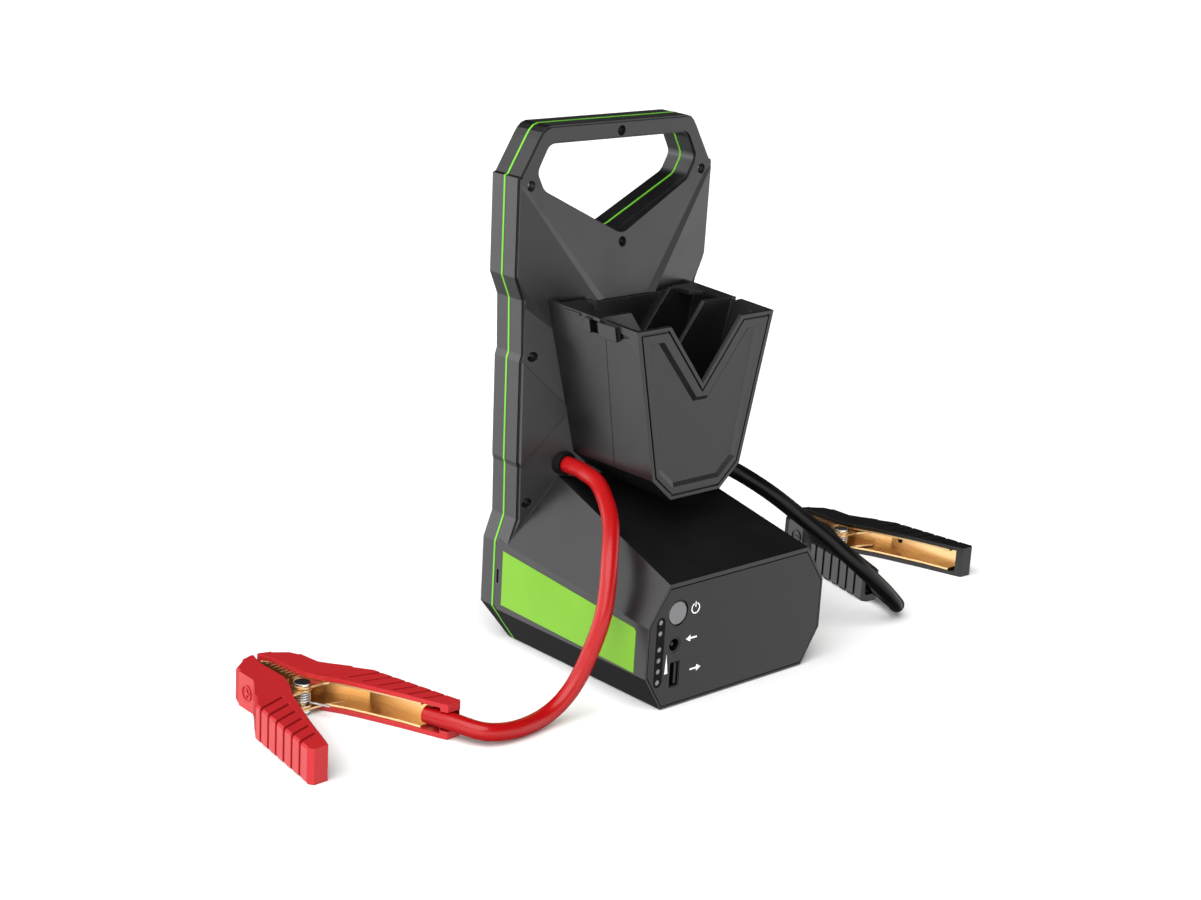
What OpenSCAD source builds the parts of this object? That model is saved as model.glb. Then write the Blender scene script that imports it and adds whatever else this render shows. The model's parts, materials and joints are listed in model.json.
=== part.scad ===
// Jump starter pack: a hollow floor-standing body with a carry handle, a two-pocket clamp holster
// on its front, battery cells inside, and two short cables that end in spring clamps.
// Millimetres. +Z is up, the front panel faces -Y, and the origin is under the middle of the body.

/* [Body] */
// Outer width of the base
base_width = 124; // [122:1:128]
// Depth from the front panel to the rear cover
pack_depth = 125.2; // [124.6:0.2:126.4]
// Height to the top of the handle
pack_height = 270; // [269:0.5:272]
// Thickness of the plastic walls
wall = 2.4; // [2:0.1:2.8]
// Width of the green seam strip
seam_width = 1.2; // [0.8:0.1:1.6]
// Height of the rubber feet below the housing
foot_drop = 0.6; // [0.4:0.1:1]

/* [Controls] */
// Diameter of the power button
button_diameter = 11.5; // [10.5:0.5:12]
// Distance that the power button is pressed
button_travel = 0.8; // [0.5:0.1:0.8]

/* [Cables and clamps] */
// Outer diameter of the cables
cable_diameter = 8.6; // [8:0.1:9]
// Thickness of a clamp, measured along its pivot pin
clamp_thickness = 17.5; // [17:0.5:18.5]
// Diameter of the pivot pins
pin_diameter = 5; // [4.6:0.1:5.2]

/* [Hidden] */
$fn = 48;
gap = 0.3; // clearance between pieces that move apart
fit = 0.1; // clearance between fixed pieces that slot together
far = 400; // longer than any part of the body

// main planes of the body
half_base = base_width / 2;
front_y = -pack_depth / 2;
rear_y = pack_depth / 2;
seam_y = rear_y - 9.4;
side_y = rear_y - 20.2; // front edge of the side faces
core_y = 29.7; // flat middle of the upright, behind the holster
foot_tuck = 5; // how far seam and rear come forward at the floor
tuck_z = 20; // height at which the tuck starts
edge_step = [0.9, 1.2]; // width and depth of the step round the front edges

// side outline of the body, right half from the floor to the handle: [x, z]
body_side = [
  [50.4, foot_drop], [half_base, 20], [half_base, 55.5], [57, 69], [57.8, 97], [58.6, 99.5],
  [59.8, 152.5], [58.7, 156], [60, 184], [65.3, 196], [66.1, 245.6], [64.4, 246.2],
  [53.8, pack_height - 6], [51.8, pack_height - 3], [49.4, pack_height - 0.9], [46.5, pack_height]];
body_outline = mirrored(body_side);

// hand hole, right half from the low point up: [x, z], then the rounding of each corner
hand_hole_corners = [[0, 214], [48.5, 238], [53.6, 247.6], [46.5, 261], [-46.5, 261], [-53.6, 247.6],
  [-48.5, 238]];
hand_hole_radii = [8, 8, 5, 6, 6, 5, 8];
hand_hole_outline = rounded(hand_hole_corners, hand_hole_radii);

// base: front outline, right half from the floor up: [x, z]
base_outline = mirrored([[50.4, foot_drop], [half_base, 19], [half_base, 110]]);
chamfer_z = 45.3; // height at the front where the upper side chamfer starts
base_slope = 0.273; // rise of the base's top towards the upright
top_z = 65.1; // height of the base's top at the front
shoulder_low = [half_base, side_y, 55.6]; // where the base's side chamfer ends

// upright: plan sections [x, y], right half, above and below the side notches
flank_knee = [44.7, 37.3];
plan_upper = [[80, side_y], [66.1, side_y], flank_knee, [19, 31.2], [0, 31.2]];
plan_lower = [[80, side_y], [58.5, side_y], flank_knee, [24, core_y], [0, core_y]];
notch_points = [[65.3, side_y, 195.5], [59.9, side_y, 183.5], [flank_knee[0], flank_knee[1], 169]];

// shield: the sunk V-shaped panel under the hand hole
shield_low = [0, 32.5, 182];
shield_high = [0, side_y, 240];
shield_edge = [[14.3, 32.5, 182], [61, side_y, 240], [32.5, 34.8, 200]];

// raised triangular pads on the flanks
pad_corners = [[90, 97.3], [58.2, 97.3], [32.7, 126.5], [59.4, 152.8], [90, 152.8]];
pad_plan = [[32.7, 32.6], [66, 43.4], [66, 60], [32.7, 60]];

// housing screws, from the front: [x, y of the front surface, z]
screw_places = [[0, 42.4, 264.9], [58.2, 41, 241.3], [-58.2, 41, 241.3], [0, 37.2, 209.2],
  [53.5, 40.6, 155], [-53.5, 40.6, 155], [53, 40.4, 78], [-53, 40.4, 78]];
screw_head_radius = 2.3;
screw_hole_radius = 2.6;
screw_sink = 5; // depth of a screw head below the surface
screw_head_height = 2;
screw_shaft_radius = 1.4;
boss_radius = 3.8;

// front panel and what is set into it: [x, z] places
panel_margin = 1.6;
panel_groove = 0.5; // width of the groove round the front panel
panel_thickness = 3;
panel_back_y = front_y + panel_thickness;
panel_corners = [[49.6, 1.9], [half_base - panel_margin, 19.4], [half_base - panel_margin, 44.8],
  [48, 62.4]];
led_radius = 1.35;
button_place = [-42.3, 49.3];
jack_place = [-43.5, 32.9];
jack_radius = 4.2;
jack_bore = 3.15;
usb_place = [-42.2, 17.3];
usb_size = [6.8, 13.4];
guide_place = [-53.3, 30.9];
guide_size = [5.8, 36.6];
led_heights = [46.6, 40.9, 32.6, 26.8, 21.1, 15.3];
window_corners = [[46.5, 6], [half_base - 6, 21], [half_base - 6, 43], [45.5, 58]];
board_y = front_y + 8.6;
board_thickness = 1.6;

// green side panels: [y, z] corners of the plate, and the small slot behind it
side_panel_corners = [[46.4, 22.4], [46.4, 51.9], [-52.9, 42.9], [-54.4, 41.4], [-54.4, 19.8]];
side_panel_thickness = 1.6;
side_slot = [50, 37.2];
side_slot_size = [1.5, 7.4];

// battery: a row of cylindrical cells that lie front to back
cell_radius = 13.25;
cell_length = 66;
cell_pitch = 27;
cell_count = 4;
cell_front_y = -48;
cell_z = 19.2;
tray_top_z = 11;
tray_length = 50;
busbar_thickness = 0.4;

// power board in the upright
power_board_y = 50;
power_board_size = [70, 1.6, 84];
power_board_z = 106;
relay_size = [30, 9, 26];
relay_z = 150;

// cable outlets
gland_x = 34.8;
gland_z = 98;
gland_face_y = 31.6;
gland_radius = 6.2;
gland_flange_back_y = 36.6;
gland_neck_radius = 5;
gland_neck_back_y = 41.5;
terminal_z = 116;

// holster
holster_front_y = -27;
divider_y = 0.8;
back_wall_y = core_y - wall;
holster_side = [[17.2, 92.3], [30.3, 104], [48, 186]];
holster_outline = mirrored(holster_side);
rim_z = 181.8; // rim height at the front wall
rim_slope = 0.04;
vee_corners = [[-28, 186.2], [0, 149.9], [28, 186.2]];
front_face = [[17.2, 92.3], [30.3, 104], [46.8, 181.8], [24.8, 181.8], [0, 149.9]];
parting = [[-4, 187], [1.8, 90]]; // [y, z] ends of the line between the two shells
parting_gap = 0.25;
rim_plate = [[46.6, 0.9], [46.6, 31], [31, 31], [33, 20], [39, 16], [39, 0.9]]; // [x, y] of the flat rim
relief_line = [1.8, 2.8]; // thin groove: inset of its two edges from the outline
relief_depth = 1.2;
// sunk middle of the front face, right half of its outline and the vee that stays proud
relief_sides = [[[-10, 98.6], [10, 98.6]], [[15.9, 98.6], [26.4, 108]], [[26.4, 108], [37.2, 172]]];
relief_top_z = 174.6;
relief_vee = [[5.4, 145.6], [28.6, 174.6]];
relief_vee_foot_z = 143.6;
relief_slope = 2.2; // width of its sloping sides
relief_panel_depth = 1.5;
holster_screw_places = [[-16, 112], [16, 112], [-21, 158], [21, 158]];

// clamps: half outline of one arm, [across, along], from the jaw tip round to the inside
arm_outline = [[2, 38.2], [9, 36], [16, 31], [18, 26], [19, 13], [22, 8], [29, -2], [35, -11],
  [44.5, -62], [42.5, -65], [35, -65], [33.4, -61], [26.3, -41], [18, -20], [14.5, -12], [8.4, -1],
  [5, 8], [4, 29], [1, 37.5]];
bevelled_sides = [1, 2, 6, 7]; // stretches of this outline, by their first point, with bevelled edges
arm_channel = [[2.4, 35.4], [8, 33.2], [13.8, 29.3], [15.6, 25.4], [16.6, 12], [19.8, 6.6], [26.8, -3.4],
  [32.6, -12], [41.8, -61.2], [30, -61.2], [20, -41], [10, -18], [4, -1], [-2, 8], [-2, 36]];
jaw_outline = [[1.6, 35.2], [7.9, 33], [13.6, 29.1], [15.4, 25.2], [16.4, 12], [19.6, 6.5], [26.6, -3.5],
  [32.4, -12.1], [40.9, -57.2], [32.3, -57.2], [27.2, -41], [18.9, -20], [15.4, -12], [9.3, -1], [5.6, 8],
  [4.6, 29], [1, 34]];
conductor_end_fixed = -51; // where the conductor stops along a handle with a cable
conductor_end_moving = -57;
jaw_hollow = [[3, 31.6], [7.2, 31], [12.2, 27.8], [14, 24.6], [15, 11.6], [18.3, 5.8], [25.3, -4.1],
  [31.1, -12.6], [39.9, -59], [20, -59], [10, -20], [3, 0], [0, 12], [0, 31.6]];
clamp_shell = 2.2; // thickness of a clamp's plastic
jaw_sheet = 1.2; // thickness of the conductor sheet
ear_radius = 4.6;
ear_levels_fixed = [2.6, clamp_thickness - 2.6 - jaw_sheet];
ear_levels_moving = [4.1, clamp_thickness - 4.1 - jaw_sheet];
pin_head_radius = 4;
pin_head_height = 1.2;
tooth_count = 9;
tooth_pitch = 3;
spring_coil_radius = 3.7;
spring_wire_radius = 0.6;
spring_turns = 4;
rib_count = 6;
rib_pitch = 7.8;
rib_start = -16; // along the handle, where the first groove reaches the outer edge
rib_depth = 1.2;
rib_width = 1.9;
rib_slant = 17; // turn of the grooves on the flat faces
handle_slant = 10.5; // turn of the handle's outer face
arm_bevel = 1.1;
mark_radius = 4;

// clamp placement on the floor: pivot place, turn, and which arm takes the cable (+1 is the right arm)
red_place = [-193.8, 34.2];
red_turn = 2.4;
red_cable_arm = 1;
black_place = [196.1, 41.3];
black_turn = -3.5;
black_cable_arm = -1;

// routes of the cables, from the gland to the crimp inside the clamp
red_route = [[-gland_x, gland_face_y, gland_z], [-gland_x, 29.4, gland_z], [-gland_x, 26, gland_z], [-35.2, 18, 97.6], [-38, 3, 95], [-50, -19, 86],
  [-63, -34, 72], [-73, -43, 51], [-82, -44.5, 32], [-93, -44.5, 15.5], [-108, -44.5, 6],
  [-129, -47, 5], [-145.5, -44, 7], [-153.6, -30.2, 8.8], [-156.4, -20.7, 8.75], [-158.1, -15.4, 8.75]];
black_route = [[gland_x, gland_face_y, gland_z], [gland_x, 29.4, gland_z], [gland_x, 26, gland_z], [35.4, 18, 97.5], [38, 8, 95], [46, 0, 92.5],
  [55, -4, 88], [70, -13.5, 77], [85, -22, 64], [100, -32.6, 50], [114, -43.6, 35], [130, -48.6, 20],
  [144, -47, 8], [150.5, -37, 7], [154.6, -22.3, 8.6], [157.7, -13.1, 8.75], [159.4, -7.65, 8.75]];
cable_steps = 3; // rings between two route points
cable_sides = 12;

// colours
dark = [0.09, 0.09, 0.095];
panel_dark = [0.07, 0.07, 0.075];
green = [0.38, 0.66, 0.11];
red = [0.78, 0.07, 0.07];
black = [0.03, 0.03, 0.03];
metal = [0.75, 0.75, 0.77];
gold = [0.82, 0.62, 0.3];

// ---- helpers ----

function unit(v) = v / norm(v);

// closes a right-half outline by adding its mirror image
function mirrored(half) = concat(half, [for (i = [len(half) - 1:-1:0]) if (half[i][0] > 0) [-half[i][0], half[i][1]]]);

// unit normal to the left of the edge from a to b
function left_of(a, b) = unit([a[1] - b[1], b[0] - a[0]]);

// moves every edge of an anticlockwise outline inwards by d
function inset(outline, d) = [
  for (i = [0:len(outline) - 1])
    let (
      n = len(outline),
      before = left_of(outline[(i + n - 1) % n], outline[i]),
      after = left_of(outline[i], outline[(i + 1) % n])
    ) outline[i] + d * (before + after) / (1 + before * after)];

// arc that rounds the corner b between a and c
function corner_arc(a, b, c, r, steps = 4) =
  let (
    u = unit(a - b),
    v = unit(c - b),
    half = acos(u * v) / 2,
    centre = b + unit(u + v) * r / sin(half),
    from = b + u * r / tan(half) - centre,
    to = b + v * r / tan(half) - centre,
    start = atan2(from[1], from[0]),
    turn = (atan2(to[1], to[0]) - start + 540) % 360 - 180
  ) [for (i = [0:steps]) centre + r * [cos(start + turn * i / steps), sin(start + turn * i / steps)]];

function rounded(corners, radii) = [
  for (i = [0:len(corners) - 1])
    let (n = len(corners)) each corner_arc(corners[(i + n - 1) % n], corners[i], corners[(i + 1) % n], radii[i])];

// extrusions of a flat shape along each axis, between two planes
module along_x(x0, x1) {
  translate([x0, 0, 0]) rotate([90, 0, 90]) linear_extrude(x1 - x0) children();
}

module along_y(y0, y1) {
  translate([0, y1, 0]) rotate([90, 0, 0]) linear_extrude(y1 - y0) children();
}

module along_z(z0, z1) {
  translate([0, 0, z0]) linear_extrude(z1 - z0) children();
}

module both_sides() {
  children();
  mirror([1, 0, 0]) children();
}

module rod(from_y, to_y, radius) {
  translate([0, from_y, 0]) rotate([-90, 0, 0]) cylinder(h = to_y - from_y, r = radius);
}

// large block with one face through a, b and c; it lies on the side that (b - a) x (c - a) points to
module block_behind(a, b, c, shift = 0) {
  u = unit(b - a);
  n = unit(cross(b - a, c - a));
  v = cross(n, u);
  o = a + shift * n;
  multmatrix([
    [u[0], v[0], n[0], o[0]],
    [u[1], v[1], n[1], o[1]],
    [u[2], v[2], n[2], o[2]],
    [0, 0, 0, 1]])
    translate([-far, -far, 0]) cube([2 * far, 2 * far, far]);
}

// points of a smooth curve through the route
function curve_point(a, b, c, d, t) = 0.5 * (2 * b + (c - a) * t + (2 * a - 5 * b + 4 * c - d) * t * t
  + (3 * b - a - 3 * c + d) * t * t * t);
function smooth(route, steps) = concat(
  [for (i = [0:len(route) - 2], s = [0:steps - 1])
    curve_point(route[max(i - 1, 0)], route[i], route[i + 1], route[min(i + 2, len(route) - 1)], s / steps)],
  [route[len(route) - 1]]);

// directions along a path, and a sideways direction carried along it without twist
function headings(path) = [for (i = [0:len(path) - 1])
  unit(path[min(i + 1, len(path) - 1)] - path[max(i - 1, 0)])];
function carried(dirs, i, side) = let (s = unit(side - (side * dirs[i]) * dirs[i]))
  i == len(dirs) - 1 ? [s] : concat([s], carried(dirs, i + 1, s));

module tube(path, radius, sides, first_side) {
  dirs = headings(path);
  across = carried(dirs, 0, first_side);
  n = len(path);
  points = [for (i = [0:n - 1], k = [0:sides - 1])
    path[i] + radius * (cos(360 * k / sides) * across[i] + sin(360 * k / sides) * cross(dirs[i], across[i]))];
  skin = [for (i = [0:n - 2], k = [0:sides - 1])
    let (a = i * sides + k, b = i * sides + (k + 1) % sides)
      each [[a, b, a + sides], [b, b + sides, a + sides]]];
  polyhedron(points, concat([[for (k = [0:sides - 1]) k]], [for (f = skin) [f[0], f[2], f[1]]],
    [[for (k = [sides - 1:-1:0]) (n - 1) * sides + k]]), 10);
}

// ---- masses of the body ----

module plan_mass(half, z0, z1) {
  along_z(z0, z1) polygon(mirrored_plan(half));
}

function mirrored_plan(half) = concat([[80, 80]], half,
  [for (i = [len(half) - 2:-1:0]) [-half[i][0], half[i][1]]], [[-80, 80]]);

// the faceted front of the upright, all of it in front of the side faces
module upright_front() {
  plan_mass(plan_lower, 60, 182);
  intersection() {
    plan_mass(plan_upper, 100, 245.6);
    union() {
      for (side = [1, -1])
        intersection() {
          block_behind_notch(side);
          translate([side > 0 ? 0 : -far, -far, 0]) cube([far, 2 * far, 2 * far]);
        }
    }
    union() {
      block_behind(shield_low, shield_high, shield_low + [10, 0, 0]);
      both_sides() block_behind(shield_edge[0], shield_edge[1], shield_edge[2]);
    }
  }
}

module block_behind_notch(side) {
  if (side > 0) block_behind(notch_points[0], notch_points[1], notch_points[2]);
  else mirror([1, 0, 0]) block_behind(notch_points[0], notch_points[1], notch_points[2]);
}

module flank_pads() {
  both_sides() intersection() {
    along_y(20, 50) polygon(pad_corners);
    along_z(90, 160) polygon(pad_plan);
  }
}

// the base: an eight-sided bar with a sloping top and narrowing upper sides
module base_mass(shrink) {
  intersection() {
    along_y(front_y, side_y + 8) polygon(inset(base_outline, shrink));
    block_behind([0, front_y, top_z], [0, front_y + 100, top_z + 100 * base_slope], [10, front_y, top_z], shrink);
    both_corners() block_behind([half_base, front_y, chamfer_z], [48.8, front_y, top_z], shoulder_low, shrink);
  }
}

// keeps what lies inside both a shape and its mirror image
module both_corners() {
  intersection() {
    children();
    mirror([1, 0, 0]) children();
  }
}

module rear_tuck() {
  along_x(-far, far) polygon([[-far, -far], [-far, far], [rear_y, far], [rear_y, tuck_z],
    [rear_y - 2 * foot_tuck, foot_drop], [rear_y - 2 * foot_tuck, -far]]);
}

// the body's side outline, stepped in along its front edge
module outline_mass() {
  step_y = side_y + edge_step[1];
  along_y(20, step_y) polygon(inset(body_outline, edge_step[0]));
  along_y(step_y, rear_y) polygon(body_outline);
}

module body_mass() {
  intersection() {
    union() {
      intersection() {
        outline_mass();
        union() {
          translate([-far, side_y, -far]) cube(2 * far);
          upright_front();
          flank_pads();
        }
      }
      base_mass(0);
    }
    rear_tuck();
  }
}

module hand_hole() {
  along_y(0, 80) polygon(hand_hole_outline);
  along_y(0, side_y + edge_step[1]) polygon(inset(hand_hole_outline, -edge_step[0]));
}

module body_cavity() {
  difference() {
    intersection() {
      along_y(20, rear_y - wall) polygon(inset(body_outline, wall));
      union() {
        translate([-far, side_y + wall, -far]) cube(2 * far);
        intersection() {
          translate([0, wall, 0]) upright_front();
          along_z(80, 236) square(2 * far, center = true);
        }
      }
      translate([0, -wall, 0]) rear_tuck();
    }
    along_y(0, 80) polygon(inset(hand_hole_outline, -wall));
  }
  intersection() {
    base_mass(wall + fit);
    translate([-far, front_y + 2 * wall + 1, -far]) cube(2 * far);
  }
}

module seam_band() {
  w = seam_width / 2;
  along_x(-far, far) polygon([[seam_y + w, far], [seam_y + w, tuck_z], [seam_y - foot_tuck + w, foot_drop],
    [seam_y - foot_tuck + w, -10], [seam_y - foot_tuck - w, -10], [seam_y - foot_tuck - w, foot_drop],
    [seam_y - w, tuck_z], [seam_y - w, far]]);
}

module ahead_of_seam() {
  y = seam_y - seam_width / 2;
  along_x(-far, far) polygon([[y, far], [y, tuck_z], [y - foot_tuck, foot_drop], [y - foot_tuck, -10], [-far, -10],
    [-far, far]]);
}

module behind_seam() {
  y = seam_y + seam_width / 2;
  along_x(-far, far) polygon([[y, far], [y, tuck_z], [y - foot_tuck, foot_drop], [y - foot_tuck, -10], [far, -10],
    [far, far]]);
}

module screw_bosses() {
  for (p = screw_places)
    translate([p[0], 0, p[2]]) rod(p[1] + 0.5, rear_y - 1, boss_radius);
}

module screw_holes() {
  for (p = screw_places)
    translate([p[0], 0, p[2]]) {
      rod(p[1] - 6, p[1] + screw_sink + screw_head_height, screw_hole_radius);
      rod(p[1], rear_y - 4, screw_shaft_radius);
    }
}

module gland_seats() {
  for (side = [1, -1])
    translate([side * gland_x, 0, gland_z]) {
      rod(gland_face_y - 6, gland_flange_back_y, gland_radius);
      rod(gland_face_y, gland_neck_back_y + 4, gland_neck_radius);
    }
}

module shell_body() {
  difference() {
    intersection() {
      union() {
        difference() {
          body_mass();
          body_cavity();
        }
        intersection() {
          screw_bosses();
          body_mass();
        }
      }
      body_mass();
    }
    hand_hole();
    screw_holes();
  }
}

// ---- housing ----

module front_housing() {
  color(dark) difference() {
    intersection() {
      shell_body();
      ahead_of_seam();
    }
    along_y(front_y - 1, panel_back_y + fit) polygon(inset(mirrored(panel_corners), -panel_groove));
    along_y(front_y - 1, front_y + 4 * wall) polygon(mirrored(window_corners));
    both_sides() {
      along_x(half_base - side_panel_thickness, half_base + 5) polygon(inset(side_panel_corners, -fit));
      translate([half_base, side_slot[0], side_slot[1]])
        cube([2, side_slot_size[0], side_slot_size[1]], center = true);
    }
    gland_seats();
    for (p = holster_screw_places)
      translate([p[0], 0, p[1]]) rod(core_y - 1, core_y + 8, screw_shaft_radius);
    foot_seats();
  }
}

module rear_cover() {
  color(dark) intersection() {
    shell_body();
    behind_seam();
  }
}

module seam_trim_outer() {
  proud = 0.2;
  color(green) difference() {
    intersection() {
      along_y(0, rear_y) polygon(inset(body_outline, -proud));
      seam_band();
    }
    along_y(-10, rear_y + 10) polygon(inset(body_outline, wall));
    floor_trim();
  }
}

// keeps the seam strip level with the underside
module floor_trim() {
  translate([-far, -far, foot_drop - far]) cube([2 * far, 2 * far, far]);
}

module seam_trim_handle() {
  proud = 0.2;
  color(green) difference() {
    intersection() {
      along_y(0, rear_y) polygon(inset(hand_hole_outline, -wall));
      seam_band();
    }
    along_y(-10, rear_y + 10) polygon(inset(hand_hole_outline, proud));
    screw_holes();
  }
}

module foot_places() {
  for (x = [-40, 40], y = [-50, 38])
    translate([x, y, 0]) children();
}

module foot_seats() {
  foot_places() cylinder(h = foot_drop + 0.8, r = 5);
}

module rubber_feet() {
  color(black) foot_places() cylinder(h = foot_drop + 0.8, r = 5);
}

module housing_screws() {
  color(metal) for (p = screw_places)
    translate([p[0], p[1] + screw_sink, p[2]]) difference() {
      union() {
        rod(0, screw_head_height, screw_head_radius);
        rod(screw_head_height - 0.1, rear_y - 5 - p[1] - screw_sink, screw_shaft_radius);
      }
      for (turn = [0, 90])
        rotate([0, turn, 0]) cube([2.6, 1.6, 0.6], center = true);
    }
}

// ---- front panel ----

// upright bar with round ends
module bar_shape(size) {
  r = size[0] / 2;
  square([size[0], size[1] - 2 * r], center = true);
  for (z = [-1, 1])
    translate([0, z * (size[1] / 2 - r)]) circle(r = r);
}

module front_panel() {
  color(panel_dark) difference() {
    along_y(front_y, panel_back_y) polygon(mirrored(panel_corners));
    translate([button_place[0], 0, button_place[1]]) {
      rod(front_y - 1, front_y + 0.8, button_diameter / 2 + 1);
      rod(front_y - 1, panel_back_y + 1, button_diameter / 2 + gap);
    }
    translate([jack_place[0], 0, jack_place[1]]) rod(front_y - 1, panel_back_y + 1, jack_radius);
    translate([usb_place[0], 0, usb_place[1]]) along_y(front_y - 1, panel_back_y + 1) square(usb_size, center = true);
    translate([guide_place[0], 0, guide_place[1]]) along_y(front_y - 1, front_y + 1.6) bar_shape(guide_size);
    for (z = led_heights)
      translate([guide_place[0], 0, z]) rod(front_y, panel_back_y + 1, led_radius);
  }
}

module light_guide() {
  color(black) difference() {
    translate([guide_place[0], 0, guide_place[1]]) along_y(front_y, front_y + 1.6) bar_shape(guide_size);
    for (z = led_heights)
      translate([guide_place[0], 0, z]) rod(front_y - 1, front_y + 3, led_radius);
  }
}

module status_leds() {
  color([0.9, 0.9, 0.9]) for (z = led_heights)
    translate([guide_place[0], 0, z]) rod(front_y + 0.2, panel_back_y, led_radius);
}

module control_board() {
  color([0.05, 0.25, 0.12]) along_y(board_y, board_y + board_thickness)
    polygon(mirrored([[44, 8], [54, 21], [54, 43], [43, 56]]));
}

module power_button() {
  color([0.35, 0.35, 0.37]) translate([button_place[0], 0, button_place[1]]) {
    rod(front_y + 0.1, panel_back_y + gap + 1, button_diameter / 2);
    rod(panel_back_y + gap, panel_back_y + gap + 1.1, button_diameter / 2 + 1.2);
  }
}

module button_switch() {
  color(black) translate([button_place[0], 0, button_place[1]]) {
    rod(panel_back_y + gap + 1.1 + button_travel + 0.2, board_y, 1.6);
    along_y(board_y - 1.2, board_y) square([6, 6], center = true);
  }
}

module dc_input_jack() {
  color(black) translate([jack_place[0], 0, jack_place[1]]) {
    difference() {
      rod(front_y + 0.2, board_y, jack_radius);
      rod(front_y - 1, board_y - 1, jack_bore);
    }
    rod(front_y + 1.6, board_y - 0.5, 1);
  }
}

module usb_port() {
  sheet = 0.5;
  color(metal) translate([usb_place[0], 0, usb_place[1]]) difference() {
    along_y(front_y + 0.3, board_y) square(usb_size, center = true);
    along_y(front_y - 1, board_y - 1) square(usb_size - [2 * sheet, 2 * sheet], center = true);
  }
}

module usb_tongue() {
  color([0.92, 0.92, 0.92]) translate([usb_place[0] + 1.4, 0, usb_place[1]])
    along_y(front_y + 1, board_y - 1) square([1.6, 11], center = true);
}

// raised symbols: on/off ring, charge-level wedge, an inward arrow at the jack, an outward arrow at the port
module panel_marks() {
  color([0.95, 0.95, 0.95]) along_y(front_y - 0.15, front_y) {
    translate([-30.4, 49.4]) {
      difference() {
        circle(r = 2.9);
        circle(r = 2.3);
        translate([-1, 1]) square([2, 3]);
      }
      translate([-0.3, 0.6]) square([0.6, 2.9]);
    }
    polygon([[-48.3, 28.9], [-49, 18.7], [-46.9, 18.7]]);
    translate([-30.7, 34.1]) arrow_shape(-1);
    translate([-29.1, 17.3]) arrow_shape(1);
  }
}

module arrow_shape(way) {
  square([5, 0.9], center = true);
  polygon(way > 0 ? [[2, -1.8], [5, 0], [2, 1.8]] : [[-2, -1.8], [-2, 1.8], [-5, 0]]);
}

// ---- side panels ----

module side_panel() {
  along_x(half_base - side_panel_thickness, half_base + 0.1) polygon(side_panel_corners);
}

module right_side_panel() {
  color(green) side_panel();
}

module left_side_panel() {
  color(green) mirror([1, 0, 0]) side_panel();
}

// ---- battery and power board ----

function cell_x(i) = (i - (cell_count + 1) / 2) * cell_pitch;

module battery_cell(i) {
  color([0.15, 0.35, 0.6]) translate([cell_x(i), 0, cell_z]) {
    rod(cell_front_y, cell_front_y + cell_length, cell_radius);
    rod(cell_front_y - 0.8, cell_front_y, 4);
  }
}

module battery_cell_1() {
  battery_cell(1);
}

module battery_cell_2() {
  battery_cell(2);
}

module battery_cell_3() {
  battery_cell(3);
}

module battery_cell_4() {
  battery_cell(4);
}

module battery_tray() {
  color(black) difference() {
    translate([-46, cell_front_y + 8, foot_drop + wall + fit]) cube([92, tray_length, tray_top_z - foot_drop - wall]);
    for (i = [1:cell_count])
      translate([cell_x(i), 0, cell_z]) rod(cell_front_y, cell_front_y + cell_length, cell_radius);
  }
}

module busbar(first, y) {
  translate([cell_x(first) - 4, y, cell_z - 4]) cube([cell_pitch + 8, busbar_thickness, 8]);
}

module front_busbars() {
  color(metal) for (first = [1, 3])
    busbar(first, cell_front_y - 0.8 - busbar_thickness);
}

module rear_busbars() {
  color(metal) busbar(2, cell_front_y + cell_length);
}

module power_board() {
  color([0.05, 0.25, 0.12]) translate([-power_board_size[0] / 2, power_board_y, power_board_z]) cube(power_board_size);
}

module relay() {
  color(black) translate([-relay_size[0] / 2, power_board_y - relay_size[1], relay_z]) cube(relay_size);
}

// copper post between a cable outlet and the power board
module terminal(side) {
  color([0.75, 0.45, 0.25]) translate([side * (power_board_size[0] / 2 - 6), 0, terminal_z]) {
    rod(power_board_y - 7, power_board_y, 3);
    translate([-5, power_board_y - 7, -12]) cube([10, 2, 16]);
  }
}

module positive_terminal() {
  terminal(-1);
}

module negative_terminal() {
  terminal(1);
}

// ---- cable outlets and cables ----

module gland(side) {
  color(black) translate([side * gland_x, 0, gland_z]) {
    rod(gland_face_y, gland_flange_back_y, gland_radius);
    rod(gland_flange_back_y, gland_neck_back_y, gland_neck_radius);
  }
}

module left_cable_gland() {
  gland(-1);
}

module right_cable_gland() {
  gland(1);
}

module red_cable() {
  color(red) tube(smooth(red_route, cable_steps), cable_diameter / 2, cable_sides, [0, 0, 1]);
}

module black_cable() {
  color(black) tube(smooth(black_route, cable_steps), cable_diameter / 2, cable_sides, [0, 0, 1]);
}

// ---- holster ----

// ring of side walls and floor, open at the top
module holster_ring() {
  difference() {
    along_y(holster_front_y, 45) polygon(holster_outline);
    along_y(holster_front_y - 1, 46) polygon(holster_inside);
  }
}

holster_inside = mirrored([[17.2 - 0.6, 92.3 + wall], [30.3 - wall + 0.3, 104 + 0.9], [48 - wall + 0.6, 190]]);

module holster_walls(places) {
  for (y = places)
    along_y(y, y + wall) polygon(holster_inside);
}

module holster_trims() {
  // rim that rises towards the back
  along_x(-60, 60) polygon([[-40, rim_z - 13 * rim_slope], [60, rim_z + 87 * rim_slope], [60, 220], [-40, 220]]);
  // vee through all three walls
  along_y(holster_front_y - 1, core_y + 1) polygon(vee_corners);
  // underside that clears the base at the back
  along_x(-60, 60) polygon([[19.6, 80], [60, 80], [60, 113], [19.6, 92.3]]);
  // everything behind the front of the upright
  upright_front();
  flank_pads();
  along_y(side_y, 60) square([4 * far, 4 * far], center = true);
}

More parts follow.
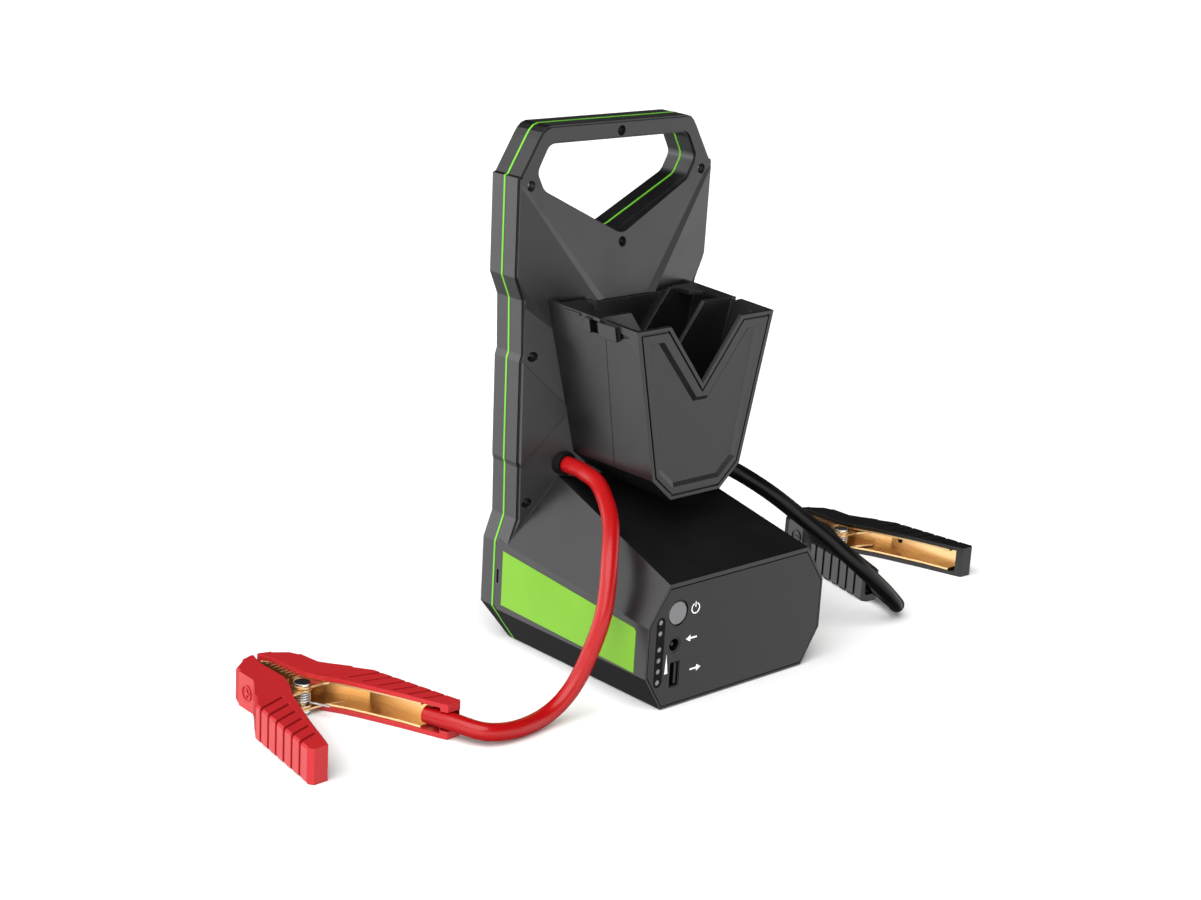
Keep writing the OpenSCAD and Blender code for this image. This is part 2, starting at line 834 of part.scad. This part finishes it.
module ahead_of_parting(shift) {
  along_x(-60, 60) polygon([[parting[0][0] + shift, parting[0][1]], [parting[1][0] + shift, parting[1][1]],
    [-60, parting[1][1]], [-60, parting[0][1]]]);
}

module side_boxes(y0, y1, z0, z1, x0, x1) {
  both_sides() translate([x0, y0, z0]) cube([x1 - x0, y1 - y0, z1 - z0]);
}

// keeps the part of a shape that is in the side walls or stands out of them by up to d
module proud_of_side(d) {
  intersection() {
    children();
    difference() {
      along_y(holster_front_y, 40) polygon(inset(holster_outline, -d));
      along_y(holster_front_y - 1, 41) polygon(holster_inside);
    }
  }
}

module relief_ring(insets) {
  outline = mirrored_face(front_face);
  along_y(holster_front_y - 1, holster_front_y + relief_depth) difference() {
    polygon(inset(outline, insets[0]));
    polygon(inset(outline, insets[1]));
  }
}

function mirrored_face(half) = concat(half, [for (i = [len(half) - 2:-1:0]) [-half[i][0], half[i][1]]]);

// what lies to the left of the line a-b on the front face, narrowing by relief_slope with depth
module relief_block(a, b) {
  n = left_of(a, b) * relief_slope;
  y = holster_front_y;
  block_behind([a[0], y, a[1]], [b[0], y, b[1]], [a[0] + n[0], y + relief_panel_depth, a[1] + n[1]]);
}

// the vee and its rim: lies above the line a-b and widens by relief_slope with depth
module relief_wedge(a, b) {
  n = -left_of(a, b) * relief_slope;
  y = holster_front_y;
  block_behind([a[0], y, a[1]], [b[0], y, b[1]], [a[0] + n[0], y + relief_panel_depth, a[1] + n[1]]);
}

module relief_panel() {
  difference() {
    intersection() {
      along_y(holster_front_y - 0.5, holster_front_y + relief_panel_depth)
        polygon([[-40, 96], [40, 96], [40, relief_top_z], [-40, relief_top_z]]);
      relief_outline();
    }
    intersection() {
      both_corners() relief_wedge(relief_vee[0], relief_vee[1]);
      relief_wedge([-10, relief_vee_foot_z], [10, relief_vee_foot_z]);
    }
  }
}

module relief_outline() {
  intersection() {
    relief_block(relief_sides[0][0], relief_sides[0][1]);
    both_corners() relief_block(relief_sides[1][0], relief_sides[1][1]);
    both_corners() relief_block(relief_sides[2][0], relief_sides[2][1]);
  }
}

module holster_front_shell() {
  color(dark) {
    difference() {
      union() {
        intersection() {
          holster_ring();
          ahead_of_parting(-parting_gap / 2);
        }
        holster_walls([holster_front_y]);
        proud_of_side(2) side_boxes(-13.1, -0.4, 174, 181.4, 40, 52);
      }
      holster_trims();
      relief_ring(relief_line);
      relief_panel();
      both_sides() along_x(43, 50) polygon([[-13.6, 175.4], [-13.6, 178.9], [-21.2, 177.6]]);
    }
  }
}

module holster_rear_shell() {
  color(dark) difference() {
    union() {
      difference() {
        holster_ring();
        ahead_of_parting(parting_gap / 2);
      }
      holster_walls([divider_y, back_wall_y]);
      both_sides() along_z(181.4, 190) polygon(rim_plate);
      proud_of_side(1.4) side_boxes(6.2, 10.6, 174.4, 181.4, 40, 52);
      proud_of_side(0.7) side_boxes(13.9, 25.4, 181.2, 182.4, 40, 52);
    }
    holster_trims();
    side_boxes(1.2, 6.2, 174.6, 181.2, 40, 52);
    side_boxes(-6, -0.1, 173.7, 190, 40, 52);
    for (p = holster_screw_places)
      translate([p[0], 0, p[1]]) rod(back_wall_y - 1, core_y + 1, screw_shaft_radius);
  }
}

module holster_screws() {
  color(metal) for (p = holster_screw_places)
    translate([p[0], 0, p[1]]) {
      rod(back_wall_y - 1.6, back_wall_y, 2.6);
      rod(back_wall_y, core_y + 7, screw_shaft_radius);
    }
}

// ---- clamps ----
// In a clamp's own frame the pivot pin is the Z axis, the jaws point to +Y and the right arm is at +X.

module place_clamp(place, turn) {
  translate([place[0], place[1], 0]) rotate([0, 0, turn]) children();
}

module arm_side(side) {
  if (side > 0) children();
  else mirror([1, 0, 0]) children();
}

// plastic shell of one arm: outer wall, top and bottom, open towards the other arm
module arm_grip(with_cable) {
  difference() {
    along_z(0, clamp_thickness) polygon(arm_outline);
    along_z(clamp_shell, clamp_thickness - clamp_shell) polygon(arm_channel);
    grip_grooves();
    arm_bevels();
    // open middle, where the conductor's ears reach the pin
    translate([0, 0, -1]) cylinder(h = clamp_thickness + 2, r = 7.6);
    if (with_cable)
      translate([38.4, -63, clamp_thickness / 2]) cube([9.6, 8, cable_diameter + 1], center = true);
  }
}

// finger grooves: across the outside of the handle, and slanting over both flat faces
module grip_grooves() {
  for (i = [0:rib_count - 1])
    translate([36 + i * rib_pitch * 0.186, rib_start - i * rib_pitch, 0]) {
      rotate([0, 0, handle_slant]) translate([-rib_depth, -rib_width / 2, -1]) cube([4, rib_width, clamp_thickness + 2]);
      for (z = [-1, clamp_thickness - rib_depth])
        rotate([0, 0, -rib_slant]) translate([-17.5 + i, -rib_width / 2, z]) cube([20, rib_width, rib_depth + 1]);
    }
}

// bevels both edges of the straight outer stretches
module arm_bevels() {
  side = arm_bevel * sqrt(2);
  for (i = bevelled_sides, z = [0, clamp_thickness]) {
    step = arm_outline[i + 1] - arm_outline[i];
    translate([arm_outline[i][0], arm_outline[i][1], z]) rotate([0, 0, atan2(step[1], step[0])])
      rotate([45, 0, 0]) translate([-0.3, -side / 2, -side / 2]) cube([norm(step) + 0.6, side, side]);
  }
}

// sheet-metal conductor of one arm: a channel with teeth at the tip and two ears on the pin
module arm_jaw(ear_levels, end_y) {
  z0 = clamp_shell + fit;
  z1 = clamp_thickness - clamp_shell - fit;
  difference() {
    union() {
      difference() {
        along_z(z0, z1) polygon(jaw_outline);
        along_z(z0 + jaw_sheet, z1 - jaw_sheet) polygon(jaw_hollow);
        translate([0, 0, -1]) cylinder(h = clamp_thickness + 2, r = 7.6);
        translate([23, -18, clamp_thickness / 2]) rotate([0, 90, 0]) cylinder(h = 20, r = 1.8);
        translate([0, end_y - 40, -1]) cube([60, 40, clamp_thickness + 2]);
      }
      jaw_teeth(z0, z1);
      for (z = ear_levels)
        along_z(z, z + jaw_sheet) ear_shape();
    }
    translate([0, 0, -1]) cylinder(h = clamp_thickness + 2, r = pin_diameter / 2 + 0.05);
  }
}

module ear_shape() {
  circle(r = ear_radius);
  polygon([[0, -4], [9, -4.5], [20, -8], [26, -4], [19, 6], [15.8, 11.2], [7, 8], [0, 4.4]]);
}

module jaw_teeth(z0, z1) {
  for (i = [0:tooth_count - 1])
    translate([0, 9 + i * tooth_pitch, z0]) linear_extrude(z1 - z0)
      polygon([[6.4, -1.4], [0.9, 0], [6.4, 1.4]]);
}

module pivot_pin() {
  z0 = ear_levels_fixed[0] - fit;
  z1 = ear_levels_fixed[1] + jaw_sheet + fit;
  color(metal) {
    translate([0, 0, z0]) cylinder(h = z1 - z0, r = pin_diameter / 2);
    for (z = [z0 - pin_head_height, z1])
      translate([0, 0, z]) cylinder(h = pin_head_height, r = pin_head_radius);
  }
}

// torsion spring: a coil round the pin with one leg along each handle
module torsion_spring() {
  low = ear_levels_moving[0] + jaw_sheet + spring_wire_radius + gap;
  high = ear_levels_moving[1] - spring_wire_radius - gap;
  steps = 18;
  coil = [for (i = [0:spring_turns * steps])
    let (a = -60 + 360 * i / steps) [spring_coil_radius * cos(a), spring_coil_radius * sin(a),
      low + (high - low) * i / (spring_turns * steps)]];
  color(metal) tube(concat([[6.5, -13, low], [4, -7, low]], coil), spring_wire_radius, 6, [0, 0, 1]);
}

module round_mark(plus) {
  size = [4.6, 1];
  color([0.85, 0.85, 0.85]) translate([-18.6, 18.5, clamp_thickness / 2]) rotate([0, 0, -4.4]) rotate([0, -90, 0]) {
    linear_extrude(0.5) {
      difference() {
        circle(r = mark_radius);
        circle(r = mark_radius - 0.6);
      }
      square([size[1], size[0]], center = true);
      if (plus) square(size, center = true);
    }
  }
}

module red_fixed_grip() {
  color(red) place_clamp(red_place, red_turn) arm_side(red_cable_arm) arm_grip(true);
}

module red_moving_grip() {
  color(red) place_clamp(red_place, red_turn) arm_side(-red_cable_arm) arm_grip(false);
}

module red_fixed_jaw() {
  color(gold) place_clamp(red_place, red_turn) arm_side(red_cable_arm) arm_jaw(ear_levels_fixed, conductor_end_fixed);
}

module red_moving_jaw() {
  color(gold) place_clamp(red_place, red_turn) arm_side(-red_cable_arm) arm_jaw(ear_levels_moving, conductor_end_moving);
}

module red_pivot_pin() {
  place_clamp(red_place, red_turn) pivot_pin();
}

module red_spring() {
  place_clamp(red_place, red_turn) arm_side(red_cable_arm) torsion_spring();
}

module red_mark() {
  place_clamp(red_place, red_turn) round_mark(true);
}

module black_fixed_grip() {
  color(black) place_clamp(black_place, black_turn) arm_side(black_cable_arm) arm_grip(true);
}

module black_moving_grip() {
  color(black) place_clamp(black_place, black_turn) arm_side(-black_cable_arm) arm_grip(false);
}

module black_fixed_jaw() {
  color(gold) place_clamp(black_place, black_turn) arm_side(black_cable_arm) arm_jaw(ear_levels_fixed, conductor_end_fixed);
}

module black_moving_jaw() {
  color(gold) place_clamp(black_place, black_turn) arm_side(-black_cable_arm) arm_jaw(ear_levels_moving, conductor_end_moving);
}

module black_pivot_pin() {
  place_clamp(black_place, black_turn) pivot_pin();
}

module black_spring() {
  place_clamp(black_place, black_turn) arm_side(black_cable_arm) torsion_spring();
}

module black_mark() {
  place_clamp(black_place, black_turn) round_mark(false);
}

front_housing();
rear_cover();
seam_trim_outer();
seam_trim_handle();
front_panel();
left_side_panel();
right_side_panel();
light_guide();
status_leds();
control_board();
power_button();
button_switch();
dc_input_jack();
usb_port();
usb_tongue();
panel_marks();
battery_cell_1();
battery_cell_2();
battery_cell_3();
battery_cell_4();
battery_tray();
front_busbars();
rear_busbars();
power_board();
relay();
positive_terminal();
negative_terminal();
left_cable_gland();
right_cable_gland();
red_cable();
black_cable();
holster_rear_shell();
holster_front_shell();
holster_screws();
housing_screws();
rubber_feet();
red_fixed_grip();
red_moving_grip();
red_fixed_jaw();
red_moving_jaw();
red_pivot_pin();
red_spring();
red_mark();
black_fixed_grip();
black_moving_grip();
black_fixed_jaw();
black_moving_jaw();
black_pivot_pin();
black_spring();
black_mark();
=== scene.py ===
import json
import math

import bpy
from mathutils import Matrix, Vector


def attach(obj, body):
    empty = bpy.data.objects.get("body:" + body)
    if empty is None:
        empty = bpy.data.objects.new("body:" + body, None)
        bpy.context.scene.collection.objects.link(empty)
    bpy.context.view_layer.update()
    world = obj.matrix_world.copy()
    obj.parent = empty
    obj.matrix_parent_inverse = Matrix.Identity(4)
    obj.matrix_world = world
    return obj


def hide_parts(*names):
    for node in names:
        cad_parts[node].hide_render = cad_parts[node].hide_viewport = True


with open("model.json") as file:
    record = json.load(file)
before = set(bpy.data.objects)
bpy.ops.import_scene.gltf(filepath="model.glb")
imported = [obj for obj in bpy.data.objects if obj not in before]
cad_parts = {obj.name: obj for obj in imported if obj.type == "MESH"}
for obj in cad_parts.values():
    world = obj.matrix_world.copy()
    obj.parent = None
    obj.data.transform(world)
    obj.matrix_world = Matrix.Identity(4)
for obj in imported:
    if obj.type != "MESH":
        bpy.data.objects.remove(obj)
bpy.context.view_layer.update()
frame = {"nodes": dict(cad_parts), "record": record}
scene = bpy.context.scene
scene.view_settings.view_transform = "Standard"
nodes = frame["nodes"]

# ---- camera: place in metres, turn in degrees, lens and sensor in millimetres, shift in frame widths ----
CAMERA_PLACE = Vector((-0.755, -0.762, 0.4371))
YAW = math.radians(-43.40)
PITCH = math.radians(-17.04)
ROLL = math.radians(3.458)
LENS = 66.1
SENSOR_WIDTH = 36
SHIFT_X = -0.0088
SHIFT_Y = -0.0026
NEAREST_SEEN = 0.01


def camera_turn():
    """The camera's right, up and backward ways as a rotation."""
    ahead = Vector((-math.sin(YAW) * math.cos(PITCH), math.cos(YAW) * math.cos(PITCH), math.sin(PITCH)))
    level = Vector((math.cos(YAW), math.sin(YAW), 0))
    plumb = level.cross(ahead)
    right = level * math.cos(ROLL) + plumb * math.sin(ROLL)
    up = plumb * math.cos(ROLL) - level * math.sin(ROLL)
    return Matrix((right, up, -ahead)).transposed().to_4x4()


def add_camera():
    data = bpy.data.cameras.new("camera")
    data.lens = LENS
    data.sensor_width = SENSOR_WIDTH
    data.shift_x = SHIFT_X
    data.shift_y = SHIFT_Y
    data.clip_start = NEAREST_SEEN
    cam = bpy.data.objects.new("camera", data)
    cam.matrix_world = Matrix.Translation(CAMERA_PLACE) @ camera_turn()
    scene.collection.objects.link(cam)
    scene.camera = cam


add_camera()

# ---- materials: noise scales per metre, radius and bump height in metres ----
PATCH_SCALE = 22.0
GLOSS_SCALE = 60.0
RUB_SCALE = 140.0
GRAIN_SCALE = 900.0
GRAIN_DETAIL = 3.0
GRAIN_HEIGHT = 0.0002
GLOSS_CHANGE = 0.14
EDGE_RADIUS = 0.0004
EDGE_SAMPLES = 4


def noise(tree, scale, detail=4.0):
    coords = tree.nodes.new("ShaderNodeTexCoord")
    texture = tree.nodes.new("ShaderNodeTexNoise")
    texture.inputs["Scale"].default_value = scale
    texture.inputs["Detail"].default_value = detail
    tree.links.new(coords.outputs["Object"], texture.inputs["Vector"])
    return texture.outputs["Fac"]


def spread(tree, source, low, high, from_low=0.3, from_high=0.7):
    """Turns the range from_low to from_high into low to high, held at both ends."""
    ramp = tree.nodes.new("ShaderNodeMapRange")
    ramp.inputs["From Min"].default_value = from_low
    ramp.inputs["From Max"].default_value = from_high
    ramp.inputs["To Min"].default_value = low
    ramp.inputs["To Max"].default_value = high
    tree.links.new(source, ramp.inputs["Value"])
    return ramp.outputs["Result"]


def tint(tree, source, dark, light):
    mix = tree.nodes.new("ShaderNodeMix")
    mix.data_type = "RGBA"
    mix.inputs["A"].default_value = (*dark, 1)
    mix.inputs["B"].default_value = (*light, 1)
    tree.links.new(source, mix.inputs["Factor"])
    return mix.outputs["Result"]


def combine(tree, operation, first, second):
    node = tree.nodes.new("ShaderNodeMath")
    node.operation = operation
    tree.links.new(first, node.inputs[0])
    tree.links.new(second, node.inputs[1])
    return node.outputs["Value"]


def edge_rub(tree, rounded, amount):
    """0 on flat faces, up to amount along broken patches of the outer and inner edges."""
    geometry = tree.nodes.new("ShaderNodeNewGeometry")
    turn = tree.nodes.new("ShaderNodeVectorMath")
    turn.operation = "DOT_PRODUCT"
    tree.links.new(rounded.outputs["Normal"], turn.inputs[0])
    tree.links.new(geometry.outputs["Normal"], turn.inputs[1])
    edge = spread(tree, turn.outputs["Value"], amount, 0.0, 0.8, 0.98)
    return combine(tree, "MULTIPLY", edge, spread(tree, noise(tree, RUB_SCALE), 0.25, 1.0))


def body_colour(tree, colour, vary, rounded, rub):
    """Soft darker and lighter patches of the colour, with a paler rub along the edges."""
    dark = [c * (1 - vary) for c in colour]
    light = [min(1.0, c * (1 + vary)) for c in colour]
    rubbed = [min(1.0, c * 1.5 + 0.012) for c in colour]
    worn = tree.nodes.new("ShaderNodeMix")
    worn.data_type = "RGBA"
    worn.inputs["B"].default_value = (*rubbed, 1)
    tree.links.new(tint(tree, spread(tree, noise(tree, PATCH_SCALE), 0, 1), dark, light), worn.inputs["A"])
    tree.links.new(edge_rub(tree, rounded, rub), worn.inputs["Factor"])
    return worn.outputs["Result"]


def grain_normal(tree, bump, rounded):
    """Fine grain on top of the rounded edges' normal."""
    lift = tree.nodes.new("ShaderNodeBump")
    lift.inputs["Strength"].default_value = bump
    lift.inputs["Distance"].default_value = GRAIN_HEIGHT
    tree.links.new(noise(tree, GRAIN_SCALE, GRAIN_DETAIL), lift.inputs["Height"])
    tree.links.new(rounded.outputs["Normal"], lift.inputs["Normal"])
    return lift.outputs["Normal"]


def surface(name, colour, rough, bump=0.08, vary=0.12, metallic=0.0, specular=0.5, rub=0.35):
    """A moulded, pressed or coated surface."""
    mat = bpy.data.materials.new(name)
    mat.use_nodes = True
    tree = mat.node_tree
    shader = tree.nodes["Principled BSDF"]
    rounded = tree.nodes.new("ShaderNodeBevel")
    rounded.samples = EDGE_SAMPLES
    rounded.inputs["Radius"].default_value = EDGE_RADIUS
    gloss = spread(tree, noise(tree, GLOSS_SCALE), rough * (1 - GLOSS_CHANGE), rough * (1 + GLOSS_CHANGE))
    tree.links.new(body_colour(tree, colour, vary, rounded, rub), shader.inputs["Base Color"])
    tree.links.new(gloss, shader.inputs["Roughness"])
    tree.links.new(grain_normal(tree, bump, rounded), shader.inputs["Normal"])
    shader.inputs["Metallic"].default_value = metallic
    shader.inputs["Specular IOR Level"].default_value = specular
    return mat


FINISHES = {
    "dark_plastic": dict(colour=(0.0048, 0.0048, 0.0052), rough=0.32, bump=0.05),
    "panel_plastic": dict(colour=(0.003, 0.003, 0.0032), rough=0.27, bump=0.03, specular=0.42),
    "green_plastic": dict(colour=(0.132, 0.33, 0.009), rough=0.42, bump=0.04, vary=0.05, specular=0.3),
    "green_trim": dict(colour=(0.12, 0.40, 0.025), rough=0.5, bump=0.05, vary=0.05, specular=0.3),
    "rubber": dict(colour=(0.004, 0.004, 0.004), rough=0.55, bump=0.15, specular=0.12),
    "black_plastic": dict(colour=(0.003, 0.003, 0.0033), rough=0.3, bump=0.06, specular=0.4),
    "light_strip": dict(colour=(0.002, 0.002, 0.002), rough=0.5, bump=0.02, specular=0.08, rub=0.0),
    "led": dict(colour=(0.16, 0.165, 0.16), rough=0.35, bump=0.02),
    "circuit_board": dict(colour=(0.01, 0.09, 0.04), rough=0.35, bump=0.1),
    "button_plastic": dict(colour=(0.14, 0.14, 0.145), rough=0.4, bump=0.06),
    "steel": dict(colour=(0.55, 0.55, 0.57), rough=0.28, bump=0.05, metallic=1.0),
    "chrome": dict(colour=(0.8, 0.8, 0.82), rough=0.12, bump=0.01, vary=0.03, metallic=1.0),
    "port_metal": dict(colour=(0.05, 0.05, 0.052), rough=0.4, bump=0.04, metallic=1.0),
    "white_print": dict(colour=(0.85, 0.85, 0.85), rough=0.5, bump=0.05, vary=0.04),
    "cell_wrap": dict(colour=(0.02, 0.08, 0.22), rough=0.3, bump=0.03),
    "copper": dict(colour=(0.6, 0.25, 0.12), rough=0.3, bump=0.05, metallic=1.0),
    "brass": dict(colour=(0.74, 0.50, 0.25), rough=0.32, bump=0.05, vary=0.08, metallic=1.0),
    "red_plastic": dict(colour=(0.40, 0.014, 0.017), rough=0.36, bump=0.06, vary=0.06, specular=0.3),
    "red_jacket": dict(colour=(0.32, 0.002, 0.003), rough=0.28, bump=0.02, vary=0.05, specular=0.3),
    "black_jacket": dict(colour=(0.002, 0.002, 0.002), rough=0.2, bump=0.02, specular=0.18),
}
MATERIALS = {name: surface(name, **finish) for name, finish in FINISHES.items()}

slots = {s["node"]: s["material_slot"] for s in frame["record"]["subparts"]}
for name, obj in nodes.items():
    obj.data.materials.clear()
    obj.data.materials.append(MATERIALS[slots[name]])

# ---- cables: each route runs from the gland's face to the clamp, in millimetres ----
CABLE_DIAMETER = 0.0086
ROUTE_STEPS = 12
ROUND_STEPS = 8
ROUTES = {
    "red": [
        (-34.8, 31.6, 98), (-34.8, 29.4, 98), (-34.8, 26, 98), (-35.2, 18, 97.6),
        (-38, 3, 95), (-50, -19, 86), (-63, -34, 72), (-73, -43, 51),
        (-82, -44.5, 32), (-93, -44.5, 15.5), (-108, -44.5, 6), (-129, -47, 5),
        (-145.5, -44, 7), (-153.6, -30.2, 8.8), (-156.4, -20.7, 8.75), (-158.1, -15.4, 8.75)],
    "black": [
        (34.8, 31.6, 98), (34.8, 29.4, 98), (34.8, 26, 98), (35.4, 18, 97.5),
        (38, 8, 95), (46, 0, 92.5), (55, -4, 88), (70, -13.5, 77),
        (85, -22, 64), (100, -32.6, 50), (114, -43.6, 35), (130, -48.6, 20), (144, -47, 8),
        (150.5, -37, 7), (154.6, -22.3, 8.6), (157.7, -13.1, 8.75), (159.4, -7.65, 8.75)],
}


def smooth(route, steps):
    """A Catmull-Rom curve through every point of the route."""
    points = []
    last = len(route) - 1
    for i in range(last):
        a, b, c, d = (Vector(route[j]) for j in (max(i - 1, 0), i, i + 1, min(i + 2, last)))
        for s in range(steps):
            t = s / steps
            points.append(0.5 * (2 * b + (c - a) * t + (2 * a - 5 * b + 4 * c - d) * t * t
                                 + (3 * b - a - 3 * c + d) * t * t * t))
    return points + [Vector(route[last])]


def add_cable(name, replaced, slot, points):
    data = bpy.data.curves.new(name, "CURVE")
    data.dimensions = "3D"
    data.bevel_depth = CABLE_DIAMETER / 2
    data.bevel_resolution = ROUND_STEPS
    data.use_fill_caps = True
    line = data.splines.new("POLY")
    line.points.add(len(points) - 1)
    for knot, p in zip(line.points, points):
        knot.co = (*p, 1)
    line.use_smooth = True
    obj = bpy.data.objects.new(name, data)
    scene.collection.objects.link(obj)
    data.materials.append(MATERIALS[slot])
    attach(obj, "pack")
    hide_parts(replaced)
    return obj


for side, route in ROUTES.items():
    points = smooth([[v / 1000 for v in p] for p in route], ROUTE_STEPS)
    cable = add_cable(side + "_cable_jacket", side + "_cable", side + "_jacket", points)

# ---- floor ----
FLOOR_SIZE = 8
FLOOR_DROP = 0.0002


def add_floor():
    """A white floor that doesn't show in glossy surfaces."""
    bpy.ops.mesh.primitive_plane_add(size=FLOOR_SIZE, location=(0, 0, -FLOOR_DROP))
    floor = bpy.context.object
    floor.name = "floor"
    floor.visible_glossy = False
    floor.data.materials.append(surface("floor", (0.93, 0.93, 0.93), 0.7, bump=0.02, vary=0.01))


add_floor()

# ---- light: a sun as the soft key, and round it a studio wall of light ----
SUN_PLACE = (-0.55, -0.35, 1)
SUN_STRENGTH = 3.6
SUN_ANGLE = 60
# how bright the wall is by height, from straight down at 0 to straight up at 1
HEIGHT_STOPS = [
    (0.0, 0.02), (0.15, 0.06), (0.25, 0.5), (0.36, 0.62),
    (0.47, 1.0), (0.6, 1.0), (0.68, 0.3), (0.76, 0.03)]
# ways out of the object: the wall is brighter toward one and goes dark away from the other
BRIGHT_SIDE = (-0.69, 0.72, 0)
OPEN_SIDE = (-0.66, -0.75, 0)
SOFTBOX_WAY = (-0.70, 0.45, 0.55)


def toward(tree, coords, way, low, high, from_low, from_high):
    """Goes from low to high as a direction turns toward the given way."""
    facing = tree.nodes.new("ShaderNodeVectorMath")
    facing.operation = "DOT_PRODUCT"
    facing.inputs[1].default_value = way
    tree.links.new(coords.outputs["Generated"], facing.inputs[0])
    return spread(tree, facing.outputs["Value"], low, high, from_low, from_high)


def wall_height(tree, coords):
    parts = tree.nodes.new("ShaderNodeSeparateXYZ")
    tree.links.new(coords.outputs["Generated"], parts.inputs["Vector"])
    ramp = tree.nodes.new("ShaderNodeValToRGB")
    tree.links.new(spread(tree, parts.outputs["Z"], 0, 1, -1, 1), ramp.inputs["Fac"])
    stops = ramp.color_ramp.elements
    while len(stops) < len(HEIGHT_STOPS):
        stops.new(0.5)
    for stop, (place, value) in zip(stops, HEIGHT_STOPS):
        stop.position = place
        stop.color = (value, value, value, 1)
    return ramp.outputs["Color"]


def add_world():
    world = bpy.data.worlds.new("studio")
    world.use_nodes = True
    tree = world.node_tree
    coords = tree.nodes.new("ShaderNodeTexCoord")
    bright = toward(tree, coords, BRIGHT_SIDE, 2.1, 3.6, -0.9, 0.9)
    lit = toward(tree, coords, OPEN_SIDE, 0.03, 1.0, -0.72, -0.5)
    wall = combine(tree, "MULTIPLY", wall_height(tree, coords), combine(tree, "MULTIPLY", bright, lit))
    softbox = toward(tree, coords, SOFTBOX_WAY, 0.0, 2.4, 0.84, 0.95)
    back = tree.nodes["Background"]
    back.inputs["Color"].default_value = (1, 1, 1, 1)
    tree.links.new(combine(tree, "MAXIMUM", wall, softbox), back.inputs["Strength"])
    scene.world = world


def add_sun():
    data = bpy.data.lights.new("key_sun", "SUN")
    data.energy = SUN_STRENGTH
    data.angle = math.radians(SUN_ANGLE)
    lamp = bpy.data.objects.new("key_sun", data)
    lamp.rotation_euler = Vector(SUN_PLACE).to_track_quat("Z", "Y").to_euler()
    scene.collection.objects.link(lamp)


add_world()
add_sun()
